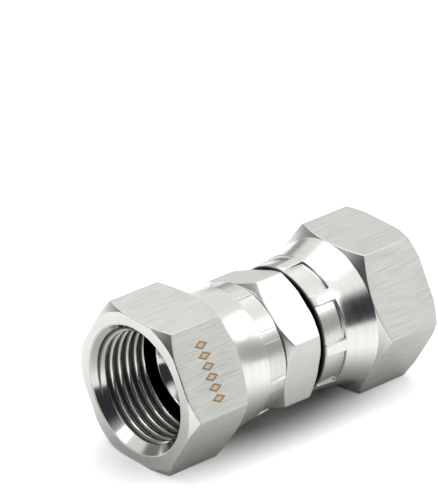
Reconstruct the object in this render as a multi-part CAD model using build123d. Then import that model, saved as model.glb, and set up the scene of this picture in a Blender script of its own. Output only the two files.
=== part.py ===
from build123d import *
import math
import os

# Swivel union: a hollow body with a swivel nut crimped onto each end, all stainless steel.
# Millimetres. +X runs along the flow axis, from the near nut to the far nut, and +Z is up.
# The origin is on the flow axis, half-way between the outer faces of the two nuts.
# The union lies on one hex flat of each nut.

# Swivel nut. Lengths along it are taken from its outer face.
nut_across_flats = 24.0
nut_length = 21.2
head_length = 11.5          # hex head, as far as the foot of the neck
chamfer_angle = 33.0        # both hexes, from the plane of the face
face_land_outset = 0.3      # round land of the outer face, beyond the inscribed circle
neck_foot_inset = 0.1       # foot of the neck, inside the inscribed circle
neck_knee = 2.8             # foot of the neck to where the tangents of its curve meet

# Thread of the nut, 3/4-16 UNF. Its crests are a plain wall here.
head_wall = 3.25            # crests of the thread to the hex flats
thread_depth = 9.4          # outer face to the end of the thread
face_rim = 1.6              # countersink to the hex flats, at the outer face
countersink_angle = 45.0    # from the axis
relief_depth = 1.0          # turned groove behind the thread, beyond its crests
relief_length = 2.1

# Skirt of the nut, crimped round the body
skirt_wall = 1.35           # under a crimp pad
skirt_end_chamfer = 0.45
pad_count = 8
pad_width_angle = 35.5
near_pad_length = 3.7
far_pad_length = 4.4        # this nut's crimp was pressed further up the skirt
pad_depth = 0.5             # at the head side of a pad
pad_end_depth = 0.2         # at the end of the skirt
near_pad_turn = 31.8        # one pad's middle, from +Y towards +Z
far_pad_turn = 19.6
lip_length = 1.8            # straight part of the lip that the crimp turns in
lip_angle = 60.0            # slope behind the lip, and heel of the collar, from the axis

# Hollow body. Lengths along each end are taken from the face of its hex.
body_hex_length = 6.1
body_hex_turn = -20.8       # how far its hex stands turned from the nuts' hexes
body_hex_height = 2.7       # flats of the hex, above the necks
body_land_outset = 0.05     # round land of the chamfered face, beyond the inscribed circle
body_wall = 2.2             # bore to neck
collar_height = 1.5         # collar above the neck
collar_length = 4.0         # full-width band
nose_step = 0.75            # nose below the collar
nose_reach = 10.75          # face of the hex to the tip of the nose
seat_rim = 0.4              # flat tip of the nose, round the mouth of the seat
seat_angle = 37.0           # conical sealing seat, from the axis

# Clearances
collar_drop = 0.05          # collar below the crests of the thread, radial
swivel_clearance = 0.2      # collar in the nut's bore, radial
lip_clearance = 0.3         # neck in the lip, radial
heel_clearance = 0.3        # heel of the collar to the lip of the nut that is drawn out, along the axis
near_end_gap = 0.3          # near nut, pushed home against the hex
far_end_gap = 1.1           # far nut, drawn out

# Worked out from the values above
overall_length = 2 * nut_length + body_hex_length + near_end_gap + far_end_gap
near_face = -overall_length / 2
hex_near = near_face + nut_length + near_end_gap
hex_far = hex_near + body_hex_length
thread_crest_diameter = nut_across_flats - 2 * head_wall
countersink_diameter = nut_across_flats - 2 * face_rim
relief_diameter = thread_crest_diameter + 2 * relief_depth
collar_diameter = thread_crest_diameter - 2 * collar_drop
neck_diameter = collar_diameter - 2 * collar_height
bore_diameter = neck_diameter - 2 * body_wall
body_across_flats = neck_diameter + 2 * body_hex_height
nose_diameter = collar_diameter - 2 * nose_step
seat_mouth_diameter = nose_diameter - 2 * seat_rim
nut_bore_radius = collar_diameter / 2 + swivel_clearance
lip_radius = neck_diameter / 2 + lip_clearance
pad_radius = nut_bore_radius + skirt_wall
collar_heel = far_end_gap + lip_length + heel_clearance - lip_clearance / math.tan(math.radians(lip_angle))
beyond = 1.0                # how far a cutting shape runs past what it cuts


def slope_run(rise, angle):
    """Length along the axis of a cone that changes radius by rise, at an angle from the axis."""
    return rise / math.tan(math.radians(angle))


def turned(outline):
    """Solid of revolution about the flow axis, from a closed outline of edges in XY."""
    return revolve(make_face(outline), axis=Axis.X)


def hex_bar(across_flats, start, length, turn=0.0):
    """Hexagonal bar along X. With no turn it stands on a flat."""
    section = Plane.YZ.offset(start) * RegularPolygon(across_flats / 2, 6, major_radius=False, rotation=turn)
    return extrude(section, amount=length)


def nut_envelope(pad_length):
    """Turned outer form of the nut: chamfered head, concave neck and crimped skirt."""
    inscribed = nut_across_flats / 2
    outside = nut_across_flats / math.sqrt(3) + beyond
    land = inscribed + face_land_outset
    foot = inscribed - neck_foot_inset
    chamfer_rise = math.tan(math.radians(chamfer_angle))
    skirt_start = nut_length - pad_length
    skirt_end = nut_length - skirt_end_chamfer
    waist = pad_radius + pad_depth
    end = pad_radius + pad_end_depth
    knee = head_length + neck_knee
    # The knee lies on the skirt's taper carried on, so the neck runs smoothly into the skirt
    knee_radius = waist + (waist - end) * (skirt_start - knee) / (skirt_end - skirt_start)
    outline = Polyline(
        (0, 0),
        (0, land),
        ((outside - land) * chamfer_rise, outside),
        (head_length - (outside - foot) * chamfer_rise, outside),
        (head_length, foot),
    )
    outline += Bezier((head_length, foot), (knee, knee_radius), (skirt_start, waist))
    outline += Polyline(
        (skirt_start, waist),
        (skirt_end, end),
        (nut_length, end - skirt_end_chamfer),
        (nut_length, 0),
        (0, 0),
    )
    return turned(outline)


def nut_bore():
    """Everything bored out of the nut: countersink, thread wall, relief groove, bore and lip."""
    crest = thread_crest_diameter / 2
    relief = relief_diameter / 2
    mouth = countersink_diameter / 2
    countersink_end = slope_run(mouth - crest, countersink_angle)
    mouth_grow = beyond * math.tan(math.radians(countersink_angle))
    relief_end = thread_depth + relief_length
    lip_start = nut_length - lip_length
    return turned(Polyline(
        (-beyond, 0),
        (-beyond, mouth + mouth_grow),
        (countersink_end, crest),
        (thread_depth, crest),
        (thread_depth, relief),
        (relief_end, relief),
        (relief_end, nut_bore_radius),
        (lip_start - slope_run(nut_bore_radius - lip_radius, lip_angle), nut_bore_radius),
        (lip_start, lip_radius),
        (nut_length + beyond, lip_radius),
        (nut_length + beyond, 0),
        (-beyond, 0),
    ))


def crimp_pads(turn, pad_length):
    """The ring of sectors that the crimping jaws press into the skirt."""
    start = nut_length - pad_length
    outside = nut_across_flats / 2 + beyond
    block = make_face(Polyline(
        (start, pad_radius),
        (nut_length + beyond, pad_radius),
        (nut_length + beyond, outside),
        (start, outside),
        (start, pad_radius),
    ))
    pads = []
    for index in range(pad_count):
        middle = turn + index * 360 / pad_count
        # A sector made about X starts in the XY plane, at +Y
        pad = revolve(block, axis=Axis.X, revolution_arc=pad_width_angle)
        pads.append(Rot(middle - pad_width_angle / 2, 0, 0) * pad)
    return pads


def swivel_nut(pad_turn, pad_length):
    """Nut with its outer face at X = 0 and its skirt towards +X."""
    nut = hex_bar(nut_across_flats, 0, nut_length) & nut_envelope(pad_length)
    return nut - nut_bore() - crimp_pads(pad_turn, pad_length)


def body_end():
    """Turned end of the body: neck, collar that holds the nut, and nose. The hex face is at X = 0."""
    neck = neck_diameter / 2
    collar = collar_diameter / 2
    nose = nose_diameter / 2
    band_start = collar_heel + slope_run(collar - neck, lip_angle)
    band_end = band_start + collar_length
    return turned(Polyline(
        (-body_hex_length / 2, 0),
        (-body_hex_length / 2, neck),
        (collar_heel, neck),
        (band_start, collar),
        (band_end, collar),
        (band_end, nose),
        (nose_reach, nose),
        (nose_reach, 0),
        (-body_hex_length / 2, 0),
    ))


def body_hex():
    """Centre hex, chamfered on its near side alone and cut square on the other."""
    outside = body_across_flats / math.sqrt(3) + beyond
    land = body_across_flats / 2 + body_land_outset
    chamfer_rise = math.tan(math.radians(chamfer_angle))
    envelope = turned(Polyline(
        (hex_near, 0),
        (hex_near, land),
        (hex_near + (outside - land) * chamfer_rise, outside),
        (hex_far, outside),
        (hex_far, 0),
        (hex_near, 0),
    ))
    return hex_bar(body_across_flats, hex_near, body_hex_length, body_hex_turn) & envelope


def flow_passage():
    """Through bore with a conical sealing seat at each end."""
    bore = bore_diameter / 2
    mouth = seat_mouth_diameter / 2
    tip_near = hex_near - nose_reach
    tip_far = hex_far + nose_reach
    seat = slope_run(mouth - bore, seat_angle)
    mouth_grow = beyond * math.tan(math.radians(seat_angle))
    return turned(Polyline(
        (tip_near - beyond, 0),
        (tip_near - beyond, mouth + mouth_grow),
        (tip_near + seat, bore),
        (tip_far - seat, bore),
        (tip_far + beyond, mouth + mouth_grow),
        (tip_far + beyond, 0),
        (tip_near - beyond, 0),
    ))


def union_body():
    """Hollow body: centre hex with a turned end on each side."""
    near_end = Pos(hex_near, 0, 0) * Rot(0, 0, 180) * body_end()
    far_end = Pos(hex_far, 0, 0) * body_end()
    return body_hex() + near_end + far_end - flow_passage()


# The far nut is the near one turned round about Z, which carries an angle to 180 degrees less itself
parts = {
    "union_body": union_body(),
    "near_nut": Pos(near_face, 0, 0) * swivel_nut(near_pad_turn, near_pad_length),
    "far_nut": Pos(-near_face, 0, 0) * Rot(0, 0, 180) * swivel_nut(180 - far_pad_turn, far_pad_length),
}

os.makedirs("parts", exist_ok=True)
for name, solid in parts.items():
    export_step(solid, f"parts/{name}.step")
    box = solid.bounding_box()
    print(name, "volume", round(solid.volume, 1), "from", box.min, "to", box.max)
print("overall length", overall_length, "hex from", hex_near, "to", hex_far)
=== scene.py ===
import math

import bpy
import numpy as np
from mathutils import Matrix, Vector


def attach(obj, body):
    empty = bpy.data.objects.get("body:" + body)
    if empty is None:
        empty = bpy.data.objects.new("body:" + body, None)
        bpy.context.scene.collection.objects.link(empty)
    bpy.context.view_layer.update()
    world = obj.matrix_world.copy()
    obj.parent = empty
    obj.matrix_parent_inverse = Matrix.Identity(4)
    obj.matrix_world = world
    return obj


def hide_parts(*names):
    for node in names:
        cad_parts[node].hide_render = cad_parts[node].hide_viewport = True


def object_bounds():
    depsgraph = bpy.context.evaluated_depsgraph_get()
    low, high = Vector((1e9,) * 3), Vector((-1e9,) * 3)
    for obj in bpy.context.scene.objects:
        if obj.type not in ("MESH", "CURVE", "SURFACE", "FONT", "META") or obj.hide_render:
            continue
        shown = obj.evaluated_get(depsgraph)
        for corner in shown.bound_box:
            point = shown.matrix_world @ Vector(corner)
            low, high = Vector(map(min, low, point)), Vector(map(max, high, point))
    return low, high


# Stainless swivel union, lying on one hex flat of each nut.
# Lengths are in millimetres unless a note says otherwise, and are scaled to metres as they go into a mesh.
# X is the flow axis. Angles about it run from +Y towards +Z.

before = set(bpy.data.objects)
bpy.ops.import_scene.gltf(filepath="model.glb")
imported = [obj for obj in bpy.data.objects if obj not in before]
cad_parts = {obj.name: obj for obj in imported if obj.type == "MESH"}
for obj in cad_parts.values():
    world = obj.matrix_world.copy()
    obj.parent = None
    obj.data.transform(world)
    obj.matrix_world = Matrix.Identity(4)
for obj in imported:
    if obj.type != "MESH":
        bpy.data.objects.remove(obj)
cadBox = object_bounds()
millimetre = 0.001                      # m
cadSides = [round((high - low) / millimetre, 3) for low, high in zip(*cadBox)]
unionLength, acrossFlats = cadSides[0], cadSides[2]
print("frame loaded:", sorted(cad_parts))


# Camera

photoView = {
    "target": (-8.46, 0.0, 18.17),      # the point it looks at
    "distance": 714.3,
    "azimuth": -41.86,                  # degrees, as are the next two
    "elevation": 27.65,
    "roll": 0.83,
    "focalPixels": 4802.3,
    "longSidePixels": 500,
    "centreOffset": (0.27, -0.86),      # pixels, right and down, of the optical centre
    "sensor": 36.0,
    "clip": (0.01, 50.0),               # m
}


def makeCamera(view):
    # Azimuth and elevation say where it stands, seen from its target, and roll turns it about its own line
    azimuth, elevation, roll = (math.radians(view[key]) for key in ("azimuth", "elevation", "roll"))
    level = math.cos(elevation)
    back = Vector((math.sin(azimuth) * level, -math.cos(azimuth) * level, math.sin(elevation)))
    side = (-back).cross(Vector((0, 0, 1))).normalized()
    up = side.cross(-back)
    right = math.cos(roll) * side + math.sin(roll) * up
    top = math.cos(roll) * up - math.sin(roll) * side
    data = bpy.data.cameras.new("photoCamera")
    data.sensor_width = view["sensor"]
    data.lens = view["focalPixels"] / view["longSidePixels"] * view["sensor"]
    data.shift_x = -view["centreOffset"][0] / view["longSidePixels"]
    data.shift_y = view["centreOffset"][1] / view["longSidePixels"]
    data.clip_start, data.clip_end = view["clip"]
    camera = bpy.data.objects.new("photoCamera", data)
    bpy.context.scene.collection.objects.link(camera)
    turn = Matrix((right, top, back)).transposed().to_4x4()
    place = (Vector(view["target"]) + view["distance"] * back) * millimetre
    camera.matrix_world = Matrix.Translation(place) @ turn
    bpy.context.scene.camera = camera


makeCamera(photoView)
bpy.context.scene.view_settings.view_transform = "Standard"
print("camera set")


# Node helpers

def node(tree, kind, **settings):
    made = tree.nodes.new(kind)
    for name, value in settings.items():
        setattr(made, name, value)
    return made


def feed(tree, value, socket):
    # A socket takes a link from another node's output, or a plain value
    if isinstance(value, bpy.types.NodeSocket):
        tree.links.new(value, socket)
    else:
        socket.default_value = value


def mathNode(tree, operation, a, b=0.0, c=0.0, clamp=False):
    made = node(tree, "ShaderNodeMath", operation=operation, use_clamp=clamp)
    for socket, value in zip(made.inputs, (a, b, c)):
        feed(tree, value, socket)
    return made.outputs[0]


def remap(tree, value, low, high, toLow=0.0, toHigh=1.0, smooth=False):
    made = node(tree, "ShaderNodeMapRange", interpolation_type="SMOOTHSTEP" if smooth else "LINEAR")
    sockets = ("Value", "From Min", "From Max", "To Min", "To Max")
    for key, given in zip(sockets, (value, low, high, toLow, toHigh)):
        feed(tree, given, made.inputs[key])
    return made.outputs["Result"]


def mixColour(tree, factor, a, b):
    # Of this node's many sockets, inputs 6 and 7 and output 2 carry colours
    made = node(tree, "ShaderNodeMix", data_type="RGBA")
    feed(tree, factor, made.inputs["Factor"])
    feed(tree, a, made.inputs[6])
    feed(tree, b, made.inputs[7])
    return made.outputs[2]


def noise(tree, place, scale, detail, roughness=0.5):
    made = node(tree, "ShaderNodeTexNoise")
    tree.links.new(place, made.inputs["Vector"])
    made.inputs["Scale"].default_value = scale
    made.inputs["Detail"].default_value = detail
    made.inputs["Roughness"].default_value = roughness
    return made.outputs[0]


def along(tree, vector, axis):
    # How far a vector reaches along an axis
    made = node(tree, "ShaderNodeVectorMath", operation="DOT_PRODUCT")
    tree.links.new(vector, made.inputs[0])
    made.inputs[1].default_value = axis
    return made.outputs["Value"]


def raysMet(tree):
    # One where the eye meets a surface, and one where a reflection does
    path = node(tree, "ShaderNodeLightPath")
    glossy, through = path.outputs["Is Glossy Ray"], path.outputs["Is Transmission Ray"]
    return path.outputs["Is Camera Ray"], mathNode(tree, "MAXIMUM", glossy, through)


def grey(level, warmth=0.0):
    # warmth lowers blue by that share
    return (level, level, level * (1 - warmth), 1.0)


# Steel

# level and warmth: the colour, and streak: the share by which level swings
# rough: on the lightest streaks and on the darkest
# spread: how far gloss is drawn out round the flow axis, and a turn of that, as a share of a full turn
# stretch: noise cells per millimetre along the flow axis and across it
# rings: noise cells per millimetre, along the flow axis and away from it
# bump: how strongly the streaks stand out, and scratch: how dark the sparse scratches are
steelFinishes = {
    # bar stock, drawn lengthwise
    "drawn": {"level": 0.575, "warmth": 0.05, "streak": 0.12, "rough": (0.36, 0.46), "spread": (0.75, 0.0),
        "stretch": (0.16, 7.5), "bump": 0.08, "scratch": 0.20},
    # milled and tumbled hex of the body: shorter and fainter streaks
    "satin": {"level": 0.66, "warmth": 0.04, "streak": 0.07, "rough": (0.32, 0.40), "spread": (0.6, 0.0),
        "stretch": (0.30, 7.0), "bump": 0.05},
    # turned on a lathe
    "faced": {"level": 0.64, "warmth": 0.04, "streak": 0.07, "rough": (0.24, 0.32), "spread": (0.4, 0.25),
        "rings": 9.0, "bump": 0.04},
    "reamed": {"level": 0.66, "warmth": 0.04, "streak": 0.12, "rough": (0.08, 0.13),
        "rings": 7.0, "bump": 0.03},
    "necked": {"level": 0.68, "warmth": 0.04, "streak": 0.05, "rough": (0.17, 0.26),
        "rings": 3.0, "bump": 0.03},
    "bored": {"level": 0.70, "warmth": 0.04, "streak": 0.05, "rough": (0.07, 0.12),
        "rings": 6.0, "bump": 0.01},
}

# The noise that streaks every finish
grain = {
    "detail": 4.0,
    "roughness": 0.62,
    "used": (0.3, 0.7),                 # the stretch of a noise's values that is used
    "cloudScale": 0.16,                 # cells per millimetre of the slow clouding over the streaks
    "cloudDetail": 2.0,
    "cloudShare": 0.35,                 # of the streaks' own strength
    "scratchScale": 0.85,               # against the streaks' cells
    "scratchDetail": 2.0,
    "scratchPeak": (0.56, 0.68),        # noise at which a scratch begins and is full
    "bumpHeight": 0.02,
}

# Painted shade, near black and rough: in the thread's roots, behind it, on the pads' edges and rolled ends
paintedShade = {"colour": (0.012, 0.010, 0.009, 1.0), "rough": 0.55}

# A plain ornament, tinted brown by heat, on one flat of the near nut: a row of hollow lozenges
heatMark = {
    "flatTurn": 150.0,                  # degrees: which way the flat faces
    "flatHeight": 11.9,                 # from the flow axis, just under the flat
    "middle": (-19.4, -0.3),            # along the flow axis and across the flat
    "count": 6,
    "pitch": 1.66,
    "halfSize": (1.3, 0.68),            # along the flow axis and across the flat
    "inner": 0.60,                      # the hollow, as a share of the lozenge
    "edge": 0.10,                       # softness of both outlines, as a share too
    "brown": (0.29, 0.18, 0.09, 1.0),
    "tan": (0.52, 0.43, 0.33, 1.0),
}


def markColour(tree, place, plain):
    # A lozenge holds the points whose distances from its middle, each as a share of its half size, add up
    # to under one. Between the hollow's share and one lies the brown line.
    mark = heatMark
    turn = math.radians(mark["flatTurn"])
    outwards = along(tree, place, (0, math.cos(turn), math.sin(turn)))
    acrossFlat = along(tree, place, (0, math.sin(turn), -math.cos(turn)))
    fromMiddle = mathNode(tree, "SUBTRACT", along(tree, place, (1, 0, 0)), mark["middle"][0])
    across = mathNode(tree, "SUBTRACT", acrossFlat, mark["middle"][1])
    cell = mathNode(tree, "FRACT", mathNode(tree, "DIVIDE", across, mark["pitch"]))
    fromCell = mathNode(tree, "MULTIPLY", mathNode(tree, "SUBTRACT", cell, 0.5), mark["pitch"])
    lengthShare, widthShare = (mathNode(tree, "DIVIDE", mathNode(tree, "ABSOLUTE", distance), half)
        for distance, half in zip((fromMiddle, fromCell), mark["halfSize"]))
    share = mathNode(tree, "ADD", lengthShare, widthShare)
    reach = mark["count"] / 2 * mark["pitch"]
    inRow = mathNode(tree, "LESS_THAN", mathNode(tree, "ABSOLUTE", across), reach)
    onFlat = mathNode(tree, "GREATER_THAN", outwards, mark["flatHeight"])
    inside = remap(tree, share, 1.0 + mark["edge"], 1.0 - mark["edge"], smooth=True)
    inside = mathNode(tree, "MULTIPLY", inside, mathNode(tree, "MULTIPLY", inRow, onFlat))
    hollow = remap(tree, share, mark["inner"] + mark["edge"], mark["inner"] - mark["edge"], smooth=True)
    return mixColour(tree, inside, plain, mixColour(tree, hollow, mark["brown"], mark["tan"]))


def grainCells(tree, place, finish):
    # Where the streaks' noise is read: slow along X and quick across it, or changing only with X and with
    # the distance from the axis, which makes rings
    x, y, z = (along(tree, place, axis) for axis in ((1, 0, 0), (0, 1, 0), (0, 0, 1)))
    if "stretch" in finish:
        slow, quick = finish["stretch"]
        read = ((x, slow), (y, quick), (z, quick))
    else:
        square = mathNode(tree, "ADD", mathNode(tree, "MULTIPLY", y, y), mathNode(tree, "MULTIPLY", z, z))
        read = ((x, finish["rings"]), (mathNode(tree, "SQRT", square), finish["rings"]))
    cells = node(tree, "ShaderNodeCombineXYZ")
    for (value, rate), socket in zip(read, cells.inputs):
        feed(tree, mathNode(tree, "MULTIPLY", value, rate), socket)
    return cells.outputs[0]


def steel(name, finish, marked=False):
    material = bpy.data.materials.new(name)
    material.use_nodes = True
    tree = material.node_tree
    shader = tree.nodes["Principled BSDF"]
    inMillimetres = node(tree, "ShaderNodeVectorMath", operation="SCALE")
    tree.links.new(node(tree, "ShaderNodeTexCoord").outputs["Object"], inMillimetres.inputs[0])
    inMillimetres.inputs["Scale"].default_value = 1 / millimetre
    place = inMillimetres.outputs[0]
    cells = grainCells(tree, place, finish)
    fine = noise(tree, cells, 1.0, grain["detail"], grain["roughness"])
    cloud = noise(tree, place, grain["cloudScale"], grain["cloudDetail"])
    streak = remap(tree, fine, *grain["used"], -1.0, 1.0)
    patch = remap(tree, cloud, *grain["used"], -grain["cloudShare"], grain["cloudShare"])
    # tone: nought on the darkest streaks and one on the lightest
    tone = mathNode(tree, "MULTIPLY_ADD", mathNode(tree, "ADD", streak, patch), 0.5, 0.5, clamp=True)
    dark = grey(finish["level"] * (1 - finish["streak"]), finish["warmth"])
    light = grey(finish["level"] * (1 + finish["streak"]), finish["warmth"])
    colour = mixColour(tree, tone, dark, light)
    if "scratch" in finish:
        scratches = noise(tree, cells, grain["scratchScale"], grain["scratchDetail"])
        cut = remap(tree, scratches, *grain["scratchPeak"], 0.0, finish["scratch"], smooth=True)
        # the sparse scratches take the near black of the painted shade
        colour = mixColour(tree, cut, colour, paintedShade["colour"])
    if marked:
        colour = markColour(tree, place, colour)
    # Painted shade: where the shade attribute rises, the colour goes to near black and the steel rougher
    shade = node(tree, "ShaderNodeAttribute", attribute_name="shade").outputs["Fac"]
    feed(tree, mixColour(tree, shade, colour, paintedShade["colour"]), shader.inputs["Base Color"])
    shader.inputs["Metallic"].default_value = 1.0
    smoothest, roughest = finish["rough"]
    rough = remap(tree, tone, 0.0, 1.0, roughest, smoothest)
    feed(tree, remap(tree, shade, 0.0, 1.0, rough, paintedShade["rough"]), shader.inputs["Roughness"])
    if "spread" in finish:
        # the tangent runs round the flow axis
        spread, turn = finish["spread"]
        shader.inputs["Anisotropic"].default_value = spread
        shader.inputs["Anisotropic Rotation"].default_value = turn
        tangent = node(tree, "ShaderNodeTangent", direction_type="RADIAL", axis="X")
        tree.links.new(tangent.outputs[0], shader.inputs["Tangent"])
    bump = node(tree, "ShaderNodeBump")
    bump.inputs["Strength"].default_value = finish["bump"]
    bump.inputs["Distance"].default_value = grain["bumpHeight"] * millimetre
    tree.links.new(fine, bump.inputs["Height"])
    tree.links.new(bump.outputs[0], shader.inputs["Normal"])
    return material


steels = {name: steel(name + "Steel", finish) for name, finish in steelFinishes.items()}
steels["marked"] = steel("markedSteel", steelFinishes["drawn"], marked=True)
print("steel finishes made:", len(steels))


# Turned surfaces

# Rows of points run round the flow axis, one after another along a profile. A row holds the length along
# the axis, the radius and the shade of each of its points. Shade is 0 on plain steel and 1 where the
# painted shade is full.
rowing = {
    "bendRows": 5,                      # rows of a rounded corner
    "bendShare": 0.4,                   # of the run beside it, which a rounding takes at most
    "closeBy": 0.04,                    # share of a run: how near to its ends its first and last rows lie
    "clear": 0.35,                      # degrees that an even column keeps from those beside a corner
    "closest": 0.03,                    # degrees between any two columns
}


def ramp(value, start, width):
    # Rises from 0 to 1 over the width, level at both ends: three squares of the share less two cubes
    share = np.clip((value - start) / width, 0, 1)
    return share * share * (3 - 2 * share)


def ringRow(length, radius, angle, shade=0.0):
    # Each value may be one number or one for every angle
    return np.stack((length + 0 * angle, radius + 0 * angle, shade + 0 * angle))


def roundedHex(angle, shape):
    # Radius of a hexagon at each angle. A smaller hexagon is grown outwards by the corner radius: a flat is
    # straight, at half the width over the cosine of the angle from its middle, and a corner is an arc whose
    # centre lies on the corner's own line.
    inscribed, cornerRound = shape["acrossFlats"] / 2, shape["cornerRound"]
    halfSide = math.pi / 6
    fromFlat = (angle - math.radians(shape["flatTurn"]) + halfSide) % (2 * halfSide) - halfSide
    fromCorner = halfSide - np.abs(fromFlat)
    centre = (inscribed - cornerRound) / math.cos(halfSide)
    straight = inscribed / np.cos(fromFlat)
    under = np.maximum(cornerRound**2 - (centre * np.sin(fromCorner))**2, 0.0)
    arc = centre * np.cos(fromCorner) + np.sqrt(under)
    arcEnd = halfSide - math.atan((inscribed - cornerRound) * math.tan(halfSide) / inscribed)
    return np.where(fromCorner < arcEnd, arc, straight)


def ringAngles(shape, padEdges=()):
    # Even steps all the way round, with more columns beside each corner of the hex and each pad's edge
    corners = [shape["flatTurn"] - 30 + 60 * k for k in range(6)]
    beside = np.asarray(shape["besideEdge"])
    spread = np.concatenate((-beside, [0], beside))
    even = np.arange(0, 360, shape["columnStep"])
    close = (np.asarray(corners + list(padEdges))[:, None] + spread[None, :]).ravel() % 360
    gap = np.abs((even[:, None] - close[None, :] + 180) % 360 - 180).min(axis=1)
    both = np.sort(np.concatenate((even[gap > rowing["clear"]], close)))
    keep = np.concatenate(([True], np.diff(both) > rowing["closest"]))
    return np.radians(both[keep])


def profileRows(stations, angle):
    # Each station is (length, radius, shade, rounding, rows to the next one, finish up to the next one).
    # Corners are cut back by the rounding and bridged by a curve whose tangents meet at the station.
    # Between corners the rows run straight, with one close beside each curve.
    points = [ringRow(length, radius, angle, shade) for length, radius, shade, *_ in stations]
    roundings = [station[3] for station in stations]
    rows, finishes = [], []
    for i, (_, _, _, rounding, rowCount, finish) in enumerate(stations):
        after = (i + 1) % len(stations)
        toBefore, toAfter = points[i - 1] - points[i], points[after] - points[i]
        beforeLength, afterLength = (np.sqrt((run[:2]**2).sum(axis=0)) for run in (toBefore, toAfter))
        mostBefore, mostAfter = (rowing["bendShare"] * run for run in (beforeLength, afterLength))
        start = points[i] + toBefore * (np.minimum(rounding, mostBefore) / beforeLength)
        end = points[i] + toAfter * (np.minimum(rounding, mostAfter) / afterLength)
        stop = points[after] - toAfter * (np.minimum(roundings[after], mostAfter) / afterLength)
        bend = np.linspace(0, 1, rowing["bendRows"]) if rounding > 0 else [0.5]
        made = [(1 - t)**2 * start + 2 * t * (1 - t) * points[i] + t**2 * end for t in bend]
        closeBy = rowing["closeBy"]
        shares = np.linspace(closeBy, 1 - closeBy, rowCount) if rowCount > 1 else [0.5] * rowCount
        made += [end + (stop - end) * share for share in shares]
        rows += made
        finishes += [finish] * len(made)
    return rows, finishes


def turnedMesh(name, rows, finishes, angle):
    # x is a point's length along the axis, and y and z are its radius times the cosine and sine of its
    # angle. The rows close on themselves and so do the columns, so the surface has no open edge. The sum of
    # a . (b x c) over its triangles is six times the volume, and it is negative if the faces point inwards.
    grid = np.stack(rows)
    x, r = grid[:, 0], grid[:, 1]
    vertices = np.stack((x, r * np.cos(angle), r * np.sin(angle)), axis=-1) * millimetre
    rowCount, columnCount = x.shape
    index = np.arange(rowCount * columnCount).reshape(rowCount, columnCount)
    nextRow, nextColumn = np.roll(index, -1, axis=0), np.roll(index, -1, axis=1)
    corner = np.roll(nextRow, -1, axis=1)
    faces = np.stack((index, nextColumn, corner, nextRow), axis=-1).reshape(-1, 4)
    flat = vertices.reshape(-1, 3)
    a, b, c, d = (flat[faces[:, k]] for k in range(4))
    signed = (np.einsum("ij,ij->i", a, np.cross(b, c)) + np.einsum("ij,ij->i", a, np.cross(c, d))).sum()
    if signed < 0:
        faces = faces[:, ::-1]
    mesh = bpy.data.meshes.new(name)
    mesh.from_pydata(flat.tolist(), [], faces.tolist())
    used = sorted(set(finishes))
    for finish in used:
        mesh.materials.append(steels[finish])
    slots = np.asarray([used.index(finish) for finish in finishes], np.int32)
    mesh.polygons.foreach_set("material_index", np.repeat(slots, columnCount))
    mesh.polygons.foreach_set("use_smooth", np.ones(len(faces), bool))
    shade = mesh.attributes.new("shade", "FLOAT", "POINT")
    shade.data.foreach_set("value", np.clip(grid[:, 2], 0, 1).ravel().astype(np.float32))
    mesh.update()
    piece = bpy.data.objects.new(name, mesh)
    bpy.context.scene.collection.objects.link(piece)
    print(name, "has", rowCount, "rows and", columnCount, "columns")
    return piece


# Swivel nuts. Lengths along each are taken from its outer face.

nutShape = {
    "acrossFlats": acrossFlats,
    "flatTurn": 30.0,                   # degrees: which way one flat faces
    "length": 21.2,
    "headLength": 11.5,
    "chamferAngle": 33.0,               # degrees, from the plane of the face
    "faceLand": 12.3,                   # radius of the round land of the outer face
    "edgeBreak": 0.13,
    "cornerRound": 0.22,
    "foot": 11.9,                       # radius of the neck at its foot
    "knee": 2.8,                        # foot to where the tangents of the neck's curve meet
    "waist": 10.75,                     # radius of the skirt at the head side of the pads
    "skirtEnd": 10.45,                  # radius that the skirt tapers to
    "endChamfer": 0.45,                 # the taper ends this far from the skirt's end
    "lip": 7.5,                         # radius
    "lipLength": 1.8,
    "lipAngle": 60.0,                   # degrees, from the axis
    "bore": 8.9,                        # radius
    "relief": 9.75,                     # radius of the groove behind the thread
    "reliefEnd": 11.5,
    "columnStep": 2.0,                  # degrees
    "besideEdge": (0.27, 0.55, 0.72, 0.9, 1.6),     # degrees
    "curveRows": 20,
    "skirtRows": 8,
    "endRows": 9,
    "paintedEndShadeRise": (0.2, 0.7),         # radians round the rolled end: where painted shade starts, and its width
}

threadShape = {
    "mouth": 10.4,                      # radius of the countersink at the face
    "crest": 8.75,                      # radius
    "depth": 0.80,
    "pitch": 25.4 / 16,
    "crestFlat": 0.25,                  # share of the pitch
    "flankAngle": 30.0,                 # degrees, from the radius
    "ease": 0.12,                       # how softly a flank meets crest and root, as a share of the depth
    "end": 9.4,
    "rows": 138,
    "rootShadeStart": 0.14,                 # beyond the crest: where the painted shade begins, and how soon it is full
    "rootShadeWidth": 0.46,
    # the next two: how dark the painted shade in the thread's roots gets, and how far the countersink is
    # darkened
    "paintedShade": 0.84,
    "mouthDarkening": 0.05,
    "mouthBlend": 0.1,
}

crimp = {
    "count": 8,
    "width": 35.5,                      # degrees
    "radius": 10.25,
    "edgeSlope": 0.9,                   # degrees, at each side of a pad
    "stepSlope": 0.22,                  # at the head side of a pad
    "stepRows": 5,
    "behindStep": 0.3,                  # from the start of the step to the next row
    "beforeStep": 0.05,                 # from the end of the neck's curve to the step
    # painted shade along each pad's step and edges, then an even darkening of each whole pad
    "paintedEdgeShade": 0.08,
    "padDarkening": 0.12,
}

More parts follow.
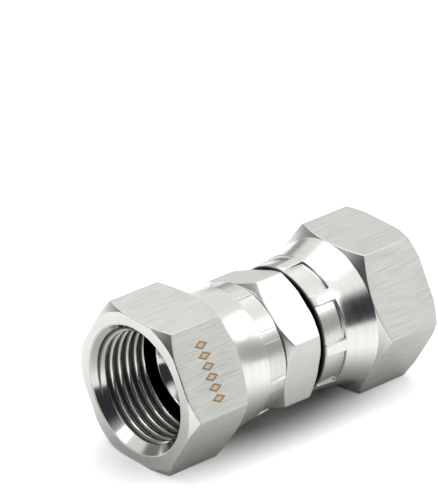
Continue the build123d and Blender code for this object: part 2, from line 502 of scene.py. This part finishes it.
# direction: 1 where lengths along the nut run with X, and -1 where they run the other way
# padTurn and threadTurn: the middle of one pad and the start of the thread, in degrees
# padLength and endRound: the pads' length along the skirt and the radius of its rolled end
# the last value of each nut: how dark the painted shade lies on its rolled end and end face
nuts = {
    "near_nut": {"direction": 1, "padTurn": 31.8, "padLength": 3.7, "threadTurn": 200, "endRound": 0.45,
        "paintedEndShade": 0.2, "flats": "marked"},
    "far_nut": {"direction": -1, "padTurn": 19.6, "padLength": 4.4, "threadTurn": 75, "endRound": 1.0,
        "paintedEndShade": 1.0, "flats": "drawn"},
}


def threadRadius(length, angle):
    # Distance along the axis to the nearest crest of a right-handed helix gives the depth: level at the
    # crest, then a straight flank, then level at the root. Where a straight run would turn at a corner, the
    # root of its square plus the ease's square turns gently.
    thread = threadShape
    pitch, depth, ease = thread["pitch"], thread["depth"], thread["ease"]
    fromCrest = np.abs((length / pitch - angle / (2 * math.pi)) % 1.0 - 0.5) * pitch
    slope = math.tan(math.radians(thread["flankAngle"]))
    rise = (fromCrest - thread["crestFlat"] * pitch / 2) / slope / depth
    eased = 0.5 * (np.sqrt(rise**2 + ease**2) - np.sqrt((rise - 1)**2 + ease**2) + 1)
    return thread["crest"] + depth * eased


def threadRow(length, angle, helixAngle):
    # Thread or countersink, whichever takes more away. Painted shade lies in the thread's roots, and the
    # countersink is evenly darkened a little.
    shape = threadShape
    thread, cone = threadRadius(length, helixAngle), shape["mouth"] - length
    rooted = shape["paintedShade"] * ramp(thread, shape["crest"] + shape["rootShadeStart"], shape["rootShadeWidth"])
    coneShare = ramp(cone - thread, -shape["mouthBlend"] / 2, shape["mouthBlend"])
    shade = rooted + (shape["mouthDarkening"] - rooted) * coneShare
    return ringRow(length, np.maximum(thread, cone), angle, shade)


def padShare(length, angle, start, middle):
    # Share of the way down to the pad: one in a pad, nought in the ribs between pads
    spacing = 360 / crimp["count"]
    fromMiddle = np.abs((np.degrees(angle) - middle + spacing / 2) % spacing - spacing / 2)
    inside = 1 - ramp(fromMiddle, crimp["width"] / 2 - crimp["edgeSlope"], crimp["edgeSlope"])
    return inside * ramp(length, start, crimp["stepSlope"])


def skirtRow(length, radius, angle, start, middle, shade=0.0):
    # Pressed down to the pads' radius and darkened evenly in a pad, with painted shade where its step
    # or edge is half-way down: four times the share times what it lacks of one
    pressed = padShare(length, angle, start, middle)
    darkening = crimp["padDarkening"] * pressed + crimp["paintedEdgeShade"] * 4 * pressed * (1 - pressed)
    radius = radius + (min(radius, crimp["radius"]) - radius) * pressed
    return ringRow(length, radius, angle, np.maximum(darkening, shade))


def headRows(own, angle):
    # Countersink's rim, outer face, flats and foot of the neck. Each chamfer is a cone, so it meets the hex
    # at a length of the hex's radius beyond the land, or beyond the foot, times the tangent of its angle.
    shape = nutShape
    hexRadius = roundedHex(angle, shape)
    slope = math.tan(math.radians(shape["chamferAngle"]))
    faceEdge = np.minimum(shape["faceLand"], hexRadius - shape["edgeBreak"])
    frontEdge = np.maximum((hexRadius - shape["faceLand"]) * slope, shape["edgeBreak"])
    backEdge = shape["headLength"] - (hexRadius - shape["foot"]) * slope
    rows, finishes = profileRows([
        (0, threadShape["mouth"], threadShape["mouthDarkening"] / 2, 0.10, 3, "faced"),
        (0, faceEdge, 0, 0.04, 2, "faced"),
        (frontEdge, hexRadius, 0, 0.05, 6, own["flats"]),
        (backEdge, hexRadius, 0, 0.05, 2, "faced"),
        (shape["headLength"], shape["foot"], 0, 0.08, 0, "necked"),
        (shape["length"] - own["padLength"], shape["waist"], 0, 0, 0, "necked"),
    ], angle)
    # the last station only says where the neck goes from its foot
    return rows[:-1], finishes[:-1]


def neckRows(own, angle):
    # A curve whose two tangents meet at the knee, then the tapered skirt, then its end rolled over by a
    # quarter of a circle
    shape = nutShape
    foot, knee = shape["headLength"], shape["headLength"] + shape["knee"]
    start, taperEnd = shape["length"] - own["padLength"], shape["length"] - shape["endChamfer"]
    taper = (shape["skirtEnd"] - shape["waist"]) / (taperEnd - start)
    kneeRadius = shape["waist"] + taper * (knee - start)
    rows = []
    for t in np.linspace(0, 1, shape["curveRows"])[1:]:
        length = (1 - t)**2 * foot + 2 * t * (1 - t) * knee + t**2 * (start - crimp["beforeStep"])
        radius = (1 - t)**2 * shape["foot"] + 2 * t * (1 - t) * kneeRadius + t**2 * shape["waist"]
        rows.append(ringRow(length, radius, angle))
    step = start + np.linspace(0, crimp["stepSlope"], crimp["stepRows"])
    skirt = np.linspace(start + crimp["behindStep"], shape["length"] - own["endRound"], shape["skirtRows"])
    for length in np.concatenate((step, skirt)):
        radius = shape["waist"] + taper * (length - start)
        rows.append(skirtRow(length, radius, angle, start, own["padTurn"]))
    for t in np.linspace(0, math.pi / 2, shape["endRows"])[1:]:
        length = shape["length"] - own["endRound"] * (1 - math.sin(t))
        radius = shape["skirtEnd"] - own["endRound"] * (1 - math.cos(t))
        # painted shade rising round the rolled end
        endShade = own["paintedEndShade"] * ramp(t, *shape["paintedEndShadeRise"])
        rows.append(skirtRow(length, radius, angle, start, own["padTurn"], endShade))
    return rows, ["necked"] * len(rows)


def boreRows(own, angle):
    # End face, lip, bore and groove, then the thread and the countersink back to the outer face
    shape, thread = nutShape, threadShape
    lipStart = shape["length"] - shape["lipLength"]
    lipRun = (shape["bore"] - shape["lip"]) / math.tan(math.radians(shape["lipAngle"]))
    # Painted shade lies in full over the lip, the bore and the groove, and on the end face as on the rolled
    # end
    rows, finishes = profileRows([
        (shape["length"], shape["lip"], own["paintedEndShade"], 0.2, 1, "faced"),
        (lipStart, shape["lip"], 1, 0.1, 1, "bored"),
        (lipStart - lipRun, shape["bore"], 1, 0.1, 2, "bored"),
        (shape["reliefEnd"], shape["bore"], 1, 0.1, 1, "bored"),
        (shape["reliefEnd"], shape["relief"], 1, 0.15, 2, "bored"),
        (thread["end"], shape["relief"], 1, 0, 0, "bored"),
    ], angle)
    # The far nut is the near one turned half round about Z, which carries an angle to half a turn less it
    ownAngle = angle if own["direction"] > 0 else (math.pi - angle) % (2 * math.pi)
    helixAngle = ownAngle + math.radians(own["threadTurn"])
    coneEnd = thread["mouth"] - thread["crest"]
    for length in np.linspace(thread["end"], 0, thread["rows"])[:-1]:
        rows.append(threadRow(length, angle, helixAngle))
        finishes.append("reamed" if length < coneEnd else "bored")
    return rows, finishes


def makeNut(name, own):
    # Three stretches of rows, then each row is set out from the outer face along the flow axis
    halfWidth = (crimp["width"] - crimp["edgeSlope"]) / 2
    padMiddles = [own["padTurn"] + k * 360 / crimp["count"] for k in range(crimp["count"])]
    angle = ringAngles(nutShape, [middle + side * halfWidth for middle in padMiddles for side in (-1, 1)])
    rows, finishes = [], []
    for stretch in (headRows, neckRows, boreRows):
        made, finish = stretch(own, angle)
        rows += made
        finishes += finish
    face = -own["direction"] * unionLength / 2
    placed = [np.stack((face + own["direction"] * length, radius, shade)) for length, radius, shade in rows]
    piece = turnedMesh(name + "_steel", placed, finishes, angle)
    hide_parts(name)
    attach(piece, name)


for nutName, own in nuts.items():
    makeNut(nutName, own)
print("nuts made")


# Body. Lengths along its near end are taken from the hex's near face, and those along its far end from
# hexLength beyond that.

bodyShape = {
    "nearGap": 0.3,                     # end of the near nut to the hex
    "hexLength": 6.1,
    "farLand": 0.75,                    # the hex's far face is chamfered and stands this much further out
    "acrossFlats": 19.8,
    "flatTurn": 9.2,                    # degrees: which way one flat faces
    "cornerRound": 0.25,
    "land": 9.95,                       # radius of the round land of both faces
    "chamferAngle": 33.0,               # degrees, from the plane of the face
    "edgeBreak": 0.10,
    "neck": 7.2,                        # radius, as are the collar, the nose, the seat's mouth and the bore
    "collar": 8.7,
    "collarHeel": 3.03,                 # where the slope from the neck up to the collar begins
    "bandStart": 3.89,                  # the collar's full width, from here
    "bandEnd": 7.89,                    # to here
    "nose": 7.95,
    "noseReach": 10.75,
    "brightTip": 0.25,                  # stretch of the nose at its tip, kept out of the painted shade
    "seatMouth": 7.55,
    "bore": 5.0,
    "seatAngle": 37.0,                  # degrees, from the axis
    "columnStep": 2.5,                  # degrees
    "besideEdge": (0.37, 0.75, 0.95, 1.3, 2.4),     # degrees
}


def endStations(face, side):
    # One end of the body, from the hex outwards and back through the seat to the bore. Side is -1 at the
    # near end and 1 at the far one.
    shape = bodyShape
    tip = face + side * shape["noseReach"]
    seatRun = (shape["seatMouth"] - shape["bore"]) / math.tan(math.radians(shape["seatAngle"]))
    # painted shade over the collar and the nose's outside, gone at the tip, and partly at the seat's foot
    return [
        (face + side * shape["collarHeel"], shape["neck"], 0.5, 0.2, 2, "bored"),
        (face + side * shape["bandStart"], shape["collar"], 1, 0.15, 2, "bored"),
        (face + side * shape["bandEnd"], shape["collar"], 1, 0.2, 2, "bored"),
        (face + side * shape["bandEnd"], shape["nose"], 1, 0.1, 2, "bored"),
        (tip - side * shape["brightTip"], shape["nose"], 1, 0, 2, "bored"),
        (tip, shape["nose"], 0, 0.14, 1, "bored"),
        (tip, shape["seatMouth"], 0, 0.08, 4, "bored"),
        (tip - side * seatRun, shape["bore"], 0.3, 0.2, 4, "bored"),
    ]


def makeBody():
    # Near end from the bore outwards, the hex between its chamfers, and the far end back to the bore
    shape = bodyShape
    angle = ringAngles(shape)
    hexRadius = roundedHex(angle, shape)
    slope = math.tan(math.radians(shape["chamferAngle"]))
    near = -unionLength / 2 + nutShape["length"] + shape["nearGap"]
    far = near + shape["hexLength"]
    farFace = far + shape["farLand"]
    faceEdge = np.minimum(shape["land"], hexRadius - shape["edgeBreak"])
    cut = np.maximum((hexRadius - shape["land"]) * slope, shape["edgeBreak"])
    # painted shade, at half strength, where each face of the hex meets the neck
    rows, finishes = profileRows(endStations(near, -1)[::-1] + [
        (near, shape["neck"], 0.5, 0.12, 2, "faced"),
        (near, faceEdge, 0, 0.05, 1, "faced"),
        (near + cut, hexRadius, 0, 0.10, 5, "satin"),
        (farFace - cut, hexRadius, 0, 0.10, 2, "faced"),
        (farFace, faceEdge, 0, 0.05, 2, "faced"),
        (farFace, shape["neck"], 0.5, 0.12, 2, "bored"),
    ] + endStations(far, 1), angle)
    piece = turnedMesh("union_body_steel", rows, finishes, angle)
    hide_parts("union_body")
    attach(piece, "union_body")


makeBody()
print("body made")


# Floor, studio and lamps

studio = {
    "floorSize": 8.0,                   # m
    "floorColour": 0.90,
    "floorRough": 0.5,
    "floorSheen": 0.2,
    "floorGlow": 0.72,                  # painted glow, added away from the part, for the eye and reflections
    "glowShape": (0.4, 1.0, 0.0),       # distances along the part count for less than those beside it
    "glowReach": (0.0045, 0.0165),      # m from its middle: where the glow begins and is full, to the eye
    "mirrorReach": (0.008, 0.030),      # m, the same in a reflection
    "wallLight": 0.02,                  # what the walls and the ceiling light the floor with
    "ceilingLight": 0.65,
    "ceiling": 1.2,                     # what steel mirrors of it
    "ceilingEdge": (42.0, 56.0),        # degrees of elevation: where the ceiling begins and is full
    "lampDistance": 0.60,               # m
}


def makeFloor():
    # A pale plane whose painted glow rises with the distance from its middle, between two limits: one pair
    # for the eye and one for reflections. Near the part the glow is low, which leaves a painted shadow
    # round it.
    half, height = studio["floorSize"] / 2, -acrossFlats / 2 * millimetre
    corners = [(-half, -half, height), (half, -half, height), (half, half, height), (-half, half, height)]
    mesh = bpy.data.meshes.new("floor")
    mesh.from_pydata(corners, [], [(0, 1, 2, 3)])
    material = bpy.data.materials.new("paleFloor")
    material.use_nodes = True
    tree = material.node_tree
    shader = tree.nodes["Principled BSDF"]
    shader.inputs["Base Color"].default_value = grey(studio["floorColour"])
    shader.inputs["Roughness"].default_value = studio["floorRough"]
    shader.inputs["Specular IOR Level"].default_value = studio["floorSheen"]
    place = node(tree, "ShaderNodeVectorMath", operation="MULTIPLY")
    tree.links.new(node(tree, "ShaderNodeTexCoord").outputs["Object"], place.inputs[0])
    place.inputs[1].default_value = studio["glowShape"]
    away = node(tree, "ShaderNodeVectorMath", operation="LENGTH")
    tree.links.new(place.outputs[0], away.inputs[0])
    strength = 0.0
    for met, reach in zip(raysMet(tree), (studio["glowReach"], studio["mirrorReach"])):
        full = remap(tree, away.outputs["Value"], *reach, 0.0, studio["floorGlow"], smooth=True)
        strength = mathNode(tree, "MULTIPLY_ADD", met, full, strength)
    glow = node(tree, "ShaderNodeEmission")
    feed(tree, strength, glow.inputs["Strength"])
    both = node(tree, "ShaderNodeAddShader")
    tree.links.new(shader.outputs[0], both.inputs[0])
    tree.links.new(glow.outputs[0], both.inputs[1])
    tree.links.new(both.outputs[0], tree.nodes["Material Output"].inputs["Surface"])
    mesh.materials.append(material)
    floor = bpy.data.objects.new("floor", mesh)
    bpy.context.scene.collection.objects.link(floor)


# Grey and unlit patches on the white walls, which only steel mirrors. Each has its middle's azimuth, from
# +X towards +Y, and elevation, then half its width and height, and how wide its soft edges are beside and
# above it, all in degrees.
wallPatches = {
    "greyEnd": {"middle": (326, 3), "half": (19, 19), "soft": (14, 14),
        "colour": (0.48, 0.48, 0.47, 1.0)},
    "greySide": {"middle": (60, 2), "half": (11, 14), "soft": (12, 12),
        "colour": (0.33, 0.32, 0.30, 1.0)},
    "greyBehind": {"middle": (128, 15), "half": (42, 12), "soft": (8, 8),
        "colour": (0.26, 0.25, 0.23, 1.0)},
    "unlitEnd": {"middle": (234, 19), "half": (69, 23), "soft": (6, 16),
        "colour": (0.040, 0.038, 0.048, 1.0)},
}


def wallPatch(tree, direction, elevation, patch):
    # One over the patch and nought outside: how far a direction lies from the patch's middle, sideways and
    # upwards, against its half width and half height, with a soft edge
    azimuth, height = (math.radians(value) for value in patch["middle"])
    ahead = along(tree, direction, (math.cos(azimuth), math.sin(azimuth), 0))
    aside = along(tree, direction, (-math.sin(azimuth), math.cos(azimuth), 0))
    sideways = mathNode(tree, "ARCTAN2", aside, ahead)
    upwards = mathNode(tree, "SUBTRACT", elevation, height)
    shares = []
    for offset, half, soft in zip((sideways, upwards), patch["half"], patch["soft"]):
        outer, inner = math.radians(half + soft / 2), math.radians(half - soft / 2)
        shares.append(remap(tree, mathNode(tree, "ABSOLUTE", offset), outer, inner, smooth=True))
    return mathNode(tree, "MULTIPLY", *shares)


def makeWorld():
    # The eye sees white. Steel mirrors the ceiling and the walls with their patches, and rough surfaces are
    # lit by both.
    world = bpy.data.worlds.new("studio")
    bpy.context.scene.world = world
    world.use_nodes = True
    tree = world.node_tree
    direction = node(tree, "ShaderNodeTexCoord").outputs["Generated"]
    elevation = mathNode(tree, "ARCSINE", along(tree, direction, (0, 0, 1)))
    mirrored = grey(1.0)
    for patch in wallPatches.values():
        mirrored = mixColour(tree, wallPatch(tree, direction, elevation, patch), mirrored, patch["colour"])
    low, high = (math.radians(value) for value in studio["ceilingEdge"])
    above = remap(tree, elevation, low, high, smooth=True)
    mirrored = mixColour(tree, above, mirrored, grey(studio["ceiling"]))
    lighting = mixColour(tree, above, grey(studio["wallLight"]), grey(studio["ceilingLight"]))
    eye, reflection = raysMet(tree)
    colour = mixColour(tree, reflection, lighting, mirrored)
    colour = mixColour(tree, eye, colour, grey(1.0))
    tree.links.new(colour, tree.nodes["Background"].inputs["Color"])


# Each has its direction from the part, its side lengths in metres and its power in watts
lamps = {
    "overhead": {"direction": (0.10, 0.30, 0.95), "sides": (0.60, 0.60), "power": 1.45, "warmth": 0.0},
    "rightBox": {"direction": (0.826, -0.146, 0.545), "sides": (0.26, 0.26), "power": 0.32, "warmth": 0.01},
    "frontBox": {"direction": (0.591, -0.519, 0.618), "sides": (0.19, 0.19), "power": 0.25, "warmth": 0.0},
    "leftBox": {"direction": (-0.653, 0.238, 0.719), "sides": (0.19, 0.17), "power": 0.18, "warmth": 0.0},
}


def makeLamps():
    for name, lamp in lamps.items():
        data = bpy.data.lights.new(name, "AREA")
        data.shape = "RECTANGLE"
        data.size, data.size_y = lamp["sides"]
        data.energy = lamp["power"]
        data.color = grey(1.0, lamp["warmth"])[:3]
        placed = bpy.data.objects.new(name, data)
        towards = Vector(lamp["direction"]).normalized()
        placed.location = towards * studio["lampDistance"]
        placed.rotation_euler = towards.to_track_quat("Z", "Y").to_euler()
        bpy.context.scene.collection.objects.link(placed)


makeFloor()
makeWorld()
makeLamps()
print("studio lit")
